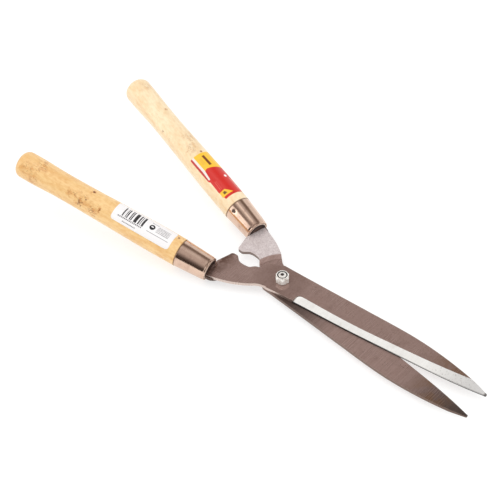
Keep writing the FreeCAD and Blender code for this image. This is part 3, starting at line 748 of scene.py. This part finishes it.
def collar_finish(grip):
    """Collar in the ferrule's mouth: dark scale on its face, and a painted highlight on its rim."""
    material, web, shader, place = new_material(grip.side + "_collar_steel")
    here = place.outputs["Object"]
    lever = web.add("ShaderNodeVectorMath", {0: here, 1: tuple(grip.mouth)},
                    operation="SUBTRACT").outputs[0]
    away = web.add("ShaderNodeVectorMath", {0: lever, 1: tuple(grip.along)},
                   operation="CROSS_PRODUCT").outputs[0]
    away = web.add("ShaderNodeVectorMath", {0: away}, operation="LENGTH").outputs["Value"]
    # painted highlight on the collar's rim
    rim = web.between(away, 0.0098, 0.0104)
    cloud = web.group(PATCHES, {"Vector": here, "Scale": 220.0, "From": 0.40,
                                "To": 0.70})["Mask"]
    skin = web.mix(cloud, linear(66, 48, 41), linear(46, 33, 28))
    skin = web.mix(rim, skin, linear(214, 192, 176))
    web.feed(shader.inputs["Base Color"], skin)
    web.feed(shader.inputs["Roughness"], web.between(cloud, 0.0, 1.0, 0.30, 0.42))
    web.feed(shader.inputs["Normal"], web.bump(web.noise(here, 500.0), 0.15, 0.0001))
    shader.inputs["Metallic"].default_value = 0.85
    return material


def zinc_finish():
    """Bright zinc on the bolt and nut, with painted shade in the small cup of the bolt's end."""
    material, web, shader, place = new_material("bright_zinc")
    here = place.outputs["Object"]
    cloud = web.group(PATCHES, {"Vector": here, "Scale": 300.0, "From": 0.40,
                                "To": 0.70})["Mask"]
    worn = web.group(WORN_EDGES, {"Vector": here, "Breadth": 0.0004})["Mask"]
    skin = web.mix(cloud, linear(254, 252, 247), linear(214, 204, 194))
    skin = web.over(skin, linear(255, 254, 250), worn, 0.6)
    x, y, _ = web.parts(here)
    from_axis = web.math("POWER", web.math("SUBTRACT", x, float(PIVOT[0])), 2.0)
    from_axis = web.math("ADD", from_axis, web.math("POWER", y, 2.0))
    # painted shade in the cup at the bolt's end
    cup = web.between(web.math("SQRT", from_axis), 0.0023, 0.0015)
    skin = web.mix(cup, skin, linear(64, 54, 50))
    web.feed(shader.inputs["Base Color"], skin)
    web.feed(shader.inputs["Roughness"], web.between(cloud, 0.0, 1.0, 0.16, 0.26))
    web.feed(shader.inputs["Normal"], web.bump(web.noise(here, 1200.0), 0.08, 0.0001))
    shader.inputs["Metallic"].default_value = 0.28
    return material


def nail_finish():
    """Dull steel nail heads with rust freckles."""
    material, web, shader, place = new_material("dull_nail")
    here = place.outputs["Object"]
    rust = web.group(PATCHES, {"Vector": here, "Scale": 900.0, "From": 0.45,
                               "To": 0.65})["Mask"]
    skin = web.mix(rust, linear(96, 84, 76), linear(78, 50, 36))
    web.feed(shader.inputs["Base Color"], skin)
    web.feed(shader.inputs["Roughness"], web.between(rust, 0.0, 1.0, 0.35, 0.6))
    shader.inputs["Metallic"].default_value = 0.7
    return material


def nylon_finish():
    """Black nylon locking ring with faint turning marks."""
    material, web, shader, place = new_material("black_nylon")
    grain = web.noise(place.outputs["Object"], 2500.0, 3.0)
    web.feed(shader.inputs["Base Color"],
             web.mix(web.between(grain, 0.3, 0.7), linear(18, 16, 16), linear(34, 31, 30)))
    web.feed(shader.inputs["Roughness"], web.between(grain, 0.3, 0.7, 0.4, 0.6))
    return material


# ---- labels -----------------------------------------------------------------------------------

def paper_base(name, tint, shade):
    """A paper material, its web, and the label's millimetre map."""
    material, web, shader, _ = new_material(name)
    print_map = web.add("ShaderNodeUVMap", uv_map="print").outputs[0]
    pulp = web.noise(print_map, 2.2, 4.0, 0.6)
    colour = web.mix(web.between(pulp, 0.3, 0.75), tint, shade)
    web.feed(shader.inputs["Roughness"], web.between(pulp, 0.3, 0.7, 0.30, 0.42))
    web.feed(shader.inputs["Normal"], web.bump(pulp, 0.05, 0.0001))
    shader.inputs["Coat Weight"].default_value = 0.2
    shader.inputs["Coat Roughness"].default_value = 0.25
    return material, web, shader, print_map, colour


def stamp(web, vector, low, high, soft=0.15):
    """Mask of a printed rectangle between two corners, in millimetres."""
    return web.group(STAMP, {"Vector": vector, "Low": (*low, 0), "High": (*high, 0),
                             "Soft": soft})["Mask"]


def white_label_finish():
    """White label: a made-up bar code, rows of ticks, a round mark and a grey block."""
    material, web, shader, where, colour = paper_base(
        "white_label_print", linear(244, 241, 241), linear(232, 229, 229))
    ink = linear(34, 32, 34)
    x, y, _ = web.parts(where)
    wave = None
    for pitch, phase in ((4.7, 0.3), (2.63, 1.9), (1.71, 0.8)):
        part = web.math("SINE", web.math("ADD", web.math("MULTIPLY", x, 2 * math.pi / pitch),
                                         phase))
        wave = part if wave is None else web.math("ADD", wave, part)
    bars = web.math("MULTIPLY", web.between(wave, -0.22, 0.0),
                    stamp(web, where, (9.2, 4.4), (35.4, 16.4)))
    thick = stamp(web, where, (24.6, 4.4), (26.8, 16.4))
    colour = web.mix(web.math("MAXIMUM", bars, thick), colour, ink)
    for low, high, pitch in (((5.5, 17.0), (34.5, 18.5), 1.9),
                             ((13.3, 20.8), (29.0, 21.9), 1.6),
                             ((41.0, 5.6), (49.0, 6.5), 1.5)):
        ticks = web.math("FRACT", web.math("DIVIDE", x, pitch))
        ticks = web.math("GREATER_THAN", ticks, 0.35)
        row = web.math("MULTIPLY", ticks, stamp(web, where, low, high))
        colour = web.over(colour, ink, row, 0.85)
    away = web.add("ShaderNodeVectorMath", {0: where, 1: (43.9, 11.4, 0)},
                   operation="DISTANCE").outputs["Value"]
    gap = stamp(web, where, (42.4, 10.2), (45.2, 11.6))
    disc = web.math("MULTIPLY", web.between(away, 3.2, 2.9),
                    web.math("SUBTRACT", 1.0, gap, clamp=True))
    colour = web.mix(disc, colour, linear(20, 20, 22))
    rule = stamp(web, where, (40.5, 17.2), (66.0, 17.7), 0.1)
    colour = web.over(colour, ink, rule, 0.75)
    rows = web.math("GREATER_THAN", web.math("FRACT", web.math("MULTIPLY", y, 0.62)), 0.42)
    crumbs = web.between(web.noise(web.stretch(where, (1.1, 2.0, 1)), 1.0, 3.0), 0.40, 0.52)
    block = web.math("MULTIPLY", stamp(web, where, (49.5, 7.0), (64.0, 14.7)),
                     web.math("MULTIPLY", rows, crumbs))
    colour = web.over(colour, linear(108, 104, 106), block, 0.80)
    web.feed(shader.inputs["Base Color"], colour)
    return material


def printed_shape(web, where, corners, soft=0.2):
    """Mask of a convex printed shape, from its corners in millimetres, in turning order."""
    inside = None
    x, y, _ = web.parts(where)
    area = sum(a[0] * b[1] - b[0] * a[1] for a, b in zip(corners, corners[1:] + corners[:1]))
    hand = math.copysign(1.0, area)
    for (ax, ay), (bx, by) in zip(corners, corners[1:] + corners[:1]):
        run = math.hypot(bx - ax, by - ay)
        nx, ny = -hand * (by - ay) / run, hand * (bx - ax) / run
        depth = web.math("ADD", web.math("MULTIPLY", x, nx), web.math("MULTIPLY", y, ny))
        depth = web.math("SUBTRACT", depth, ax * nx + ay * ny)
        inside = depth if inside is None else web.math("MINIMUM", inside, depth)
    return web.between(inside, -soft, soft)


def colour_label_finish():
    """Red and yellow label with a white strip; plain bars stand where words would be."""
    material, web, shader, where, paper = paper_base(
        "colour_label_print", linear(236, 230, 224), linear(226, 220, 212))
    red = linear(206, 26, 10)
    yellow = linear(244, 192, 40)
    colour = paper
    pale_red = linear(240, 160, 150)
    shapes = [
        # yellow head, with one dark bar and one faint block on it
        ([(-1.0, 4.9), (21.8, 5.4), (30.0, 31.0), (-1.0, 31.0)], yellow, 1.0),
        ([(4.0, 13.0), (18.4, 13.4), (18.4, 16.4), (4.0, 16.0)], linear(112, 40, 16), 0.95),
        ([(5.5, 7.6), (15.0, 7.9), (15.0, 11.4), (5.5, 11.1)], linear(206, 156, 40), 0.30),
        # red field, the thin red strip past the white one, and the part that joins them
        ([(20.4, 8.6), (27.2, 31.0), (65.0, 31.0), (65.0, 3.0), (52.0, 1.4), (21.6, 5.4)],
         red, 1.0),
        ([(-1.0, -1.0), (-1.0, 2.4), (21.0, 2.8), (34.0, 2.0), (35.0, -1.0)],
         linear(188, 36, 30), 1.0),
        ([(33.0, -1.0), (33.0, 3.8), (40.0, 4.4), (53.0, 2.4), (53.0, -1.0)], red, 1.0),
        # yellow corner with its dark block
        ([(52.8, -1.0), (52.5, 8.7), (59.6, 14.8), (59.6, -1.0)], yellow, 1.0),
        ([(54.6, 5.0), (54.2, 7.6), (57.6, 9.0), (57.8, 5.2)], linear(50, 34, 16), 0.85),
        # thin pale rules on the red
        ([(39.0, 5.4), (39.0, 5.9), (51.0, 5.3), (51.0, 4.8)], linear(236, 120, 108), 0.7),
        ([(39.0, 7.0), (39.0, 7.4), (51.0, 6.9), (51.0, 6.5)], linear(236, 120, 108), 0.5),
        ([(42.0, 22.6), (42.0, 23.3), (58.0, 24.0), (58.0, 23.3)], pale_red, 0.8),
        ([(43.0, 24.6), (43.0, 25.2), (56.0, 25.8), (56.0, 25.2)], pale_red, 0.6),
    ]
    for corners, tint, strength in shapes:
        mask = printed_shape(web, where, corners)
        colour = web.over(colour, tint, mask, strength)
    away = web.add("ShaderNodeVectorMath", {0: where, 1: (37.8, 20.4, 0)},
                   operation="DISTANCE").outputs["Value"]
    colour = web.mix(web.between(away, 1.9, 1.4), colour, linear(250, 244, 240))
    web.feed(shader.inputs["Base Color"], colour)
    return material


# ---- the object ---------------------------------------------------------------------------------

def finish_node(name, material):
    """Gives a carried-over node one material in all its slots."""
    slots = nodes[name].data.materials
    for k in range(max(1, len(slots))):
        if k < len(slots):
            slots[k] = material
        else:
            slots.append(material)


def build_shears():
    """Makes the turned and glued pieces and gives every piece its finish."""
    wood = {
        "right": wood_finish(GRIPS["right"], linear(240, 202, 142), linear(222, 168, 98),
                             linear(198, 122, 48)),
        "left": wood_finish(GRIPS["left"], linear(246, 226, 190), linear(232, 196, 146),
                            linear(204, 144, 80)),
    }
    for side, grip in GRIPS.items():
        turned_handle(grip).data.materials.append(wood[side])
        plated_ferrule(grip).data.materials.append(ferrule_finish(grip))
    white = glued_label(GRIPS["right"], "right_label_paper", "right_barcode_label",
                        44.0, 113.4, -40.0, 55.0, [(0.0, 0.0), (70.0, 0.0)],
                        3.4)
    white.data.materials.append(white_label_finish())
    red = glued_label(GRIPS["left"], "left_label_paper", "left_colour_label",
                      44.0, 106.6, -52.0, 50.0,
                      [(0.0, 0.0), (34.0, 0.6), (35.6, 2.0), (52.0, 1.6), (52.6, 2.0),
                       (59.0, 1.6), (60.0, 3.2), (63.0, 3.2)], 0.9)
    red.data.materials.append(colour_label_finish())
    finish_node("upper_blade", blade_finish("upper_blade_steel", False))
    finish_node("lower_blade", blade_finish("lower_blade_steel", True))
    forged = forged_finish()
    zinc = zinc_finish()
    nail = nail_finish()
    for side in GRIPS:
        finish_node(side + "_tang", forged)
        finish_node(side + "_collar", collar_finish(GRIPS[side]))
        finish_node(side + "_ferrule_nail", nail)
    finish_node("pivot_bolt", zinc)
    finish_node("lock_nut", zinc)
    finish_node("nut_nylon_ring", nylon_finish())


# ---- floor, light and camera ----------------------------------------------------------------------

FLOOR_HALF = 6.0
VIEW_TURN = math.radians(40.924)
VIEW_RISE = math.radians(47.0)
VIEW_DISTANCE = 1.2744
VIEW_AIM = PIVOT + np.array([1.5, 1.27, 0.0]) * MM
SENSOR = 36.0
FRAMING = (-0.0687, 0.0655)


def lay_floor():
    """Pale floor, part of its brightness its own, so that shadows on it stay light."""
    mesh = bpy.data.meshes.new("studio_floor")
    h = FLOOR_HALF
    mesh.from_pydata([(-h, -h, 0), (h, -h, 0), (h, h, 0), (-h, h, 0)], [], [(0, 1, 2, 3)])
    floor = bpy.data.objects.new("studio_floor", mesh)
    bpy.context.scene.collection.objects.link(floor)
    material, web, shader, place = new_material("pale_floor")
    cloud = web.noise(place.outputs["Object"], 3.0)
    web.feed(shader.inputs["Base Color"],
             web.mix(cloud, (0.42, 0.42, 0.415, 1.0), (0.44, 0.44, 0.435, 1.0)))
    shader.inputs["Roughness"].default_value = 0.9
    shader.inputs["Emission Color"].default_value = (1.0, 1.0, 1.0, 1.0)
    shader.inputs["Emission Strength"].default_value = 0.62
    mesh.materials.append(material)


def reflected_room(web):
    """The room as shiny surfaces see it, by height and turn in degrees.

    Pale below, a dark band, and pale again overhead.  The west has a bright ceiling panel,
    the south is gloomy low down, and a tall window stands in the south-west.
    """
    way = web.add("ShaderNodeTexCoord").outputs["Generated"]
    x, y, z = web.parts(way)
    rise = web.math("MULTIPLY", web.math("ARCSINE", z), 180 / math.pi)
    turn = web.math("MULTIPLY", web.math("ARCTAN2", y, x), 180 / math.pi)
    room = web.mix(web.between(rise, 36.0, 46.0), (0.92, 0.92, 0.92, 1), (0.22, 0.18, 0.16, 1))
    room = web.mix(web.between(rise, 58.0, 78.0), room, (0.70, 0.68, 0.68, 1))
    west = web.math("MAXIMUM", web.between(turn, 146.0, 158.0),
                    web.between(turn, -146.0, -158.0))
    panel = web.math("MULTIPLY", west, web.window(rise, 56.0, 84.0, 4.0))
    room = web.mix(panel, room, (1.25, 1.23, 1.2, 1))
    gloom = web.mix(web.between(rise, 18.0, 64.0), (0.05, 0.035, 0.03, 1),
                    (0.60, 0.56, 0.56, 1))
    room = web.mix(web.window(turn, -116.0, -52.0, 6.0), room, gloom)
    tall = web.math("MULTIPLY", web.window(turn, -146.0, -118.0, 7.0),
                    web.window(rise, -12.0, 46.0, 5.0))
    return web.mix(tall, room, (2.2, 2.2, 2.2, 1))


# name, place in metres, disc's diameter in metres and power in watts
LAMPS = [("key", (-0.5, -0.3, 1.6), 1.6, 8.0), ("fill", (1.2, -1.2, 1.4), 1.2, 3.0)]


def light_studio():
    """Even pale light all round, a room for what shines to reflect, and two soft lamps."""
    world = bpy.data.worlds.new("studio")
    bpy.context.scene.world = world
    world.use_nodes = True
    web = Web(world.node_tree)
    world.node_tree.nodes.clear()
    room = reflected_room(web)
    ray = web.add("ShaderNodeLightPath").outputs
    plain = web.add("ShaderNodeBackground", {"Color": (1, 1, 1, 1), "Strength": 0.92})
    shiny = web.add("ShaderNodeBackground", {"Color": room, "Strength": 1.0})
    choice = web.add("ShaderNodeMixShader", {0: ray["Is Glossy Ray"],
                                             1: plain.outputs[0], 2: shiny.outputs[0]})
    web.add("ShaderNodeOutputWorld", {"Surface": choice.outputs[0]})
    for name, place, size, power in LAMPS:
        lamp = bpy.data.lights.new(name, "AREA")
        lamp.shape = "DISK"
        lamp.size = size
        lamp.energy = power
        holder = bpy.data.objects.new(name, lamp)
        holder.location = place
        holder.rotation_euler = (-Vector(place)).to_track_quat("-Z", "Y").to_euler()
        holder.visible_glossy = False
        bpy.context.scene.collection.objects.link(holder)


def set_camera():
    """Camera above and beside the shears, looking at a point by the pivot."""
    back = np.array([math.sin(VIEW_TURN) * math.cos(VIEW_RISE),
                     -math.cos(VIEW_TURN) * math.cos(VIEW_RISE), math.sin(VIEW_RISE)])
    camera = bpy.data.cameras.new("camera")
    camera.sensor_width = SENSOR
    camera.lens = SENSOR * VIEW_DISTANCE / 0.5
    camera.shift_x, camera.shift_y = FRAMING
    camera.clip_start = 0.01
    holder = bpy.data.objects.new("camera", camera)
    holder.location = VIEW_AIM + VIEW_DISTANCE * back
    holder.rotation_euler = (-Vector(back)).to_track_quat("-Z", "Y").to_euler()
    bpy.context.scene.collection.objects.link(holder)
    bpy.context.scene.camera = holder
    bpy.context.scene.view_settings.view_transform = "Standard"


build_shears()
lay_floor()
light_studio()
set_camera()
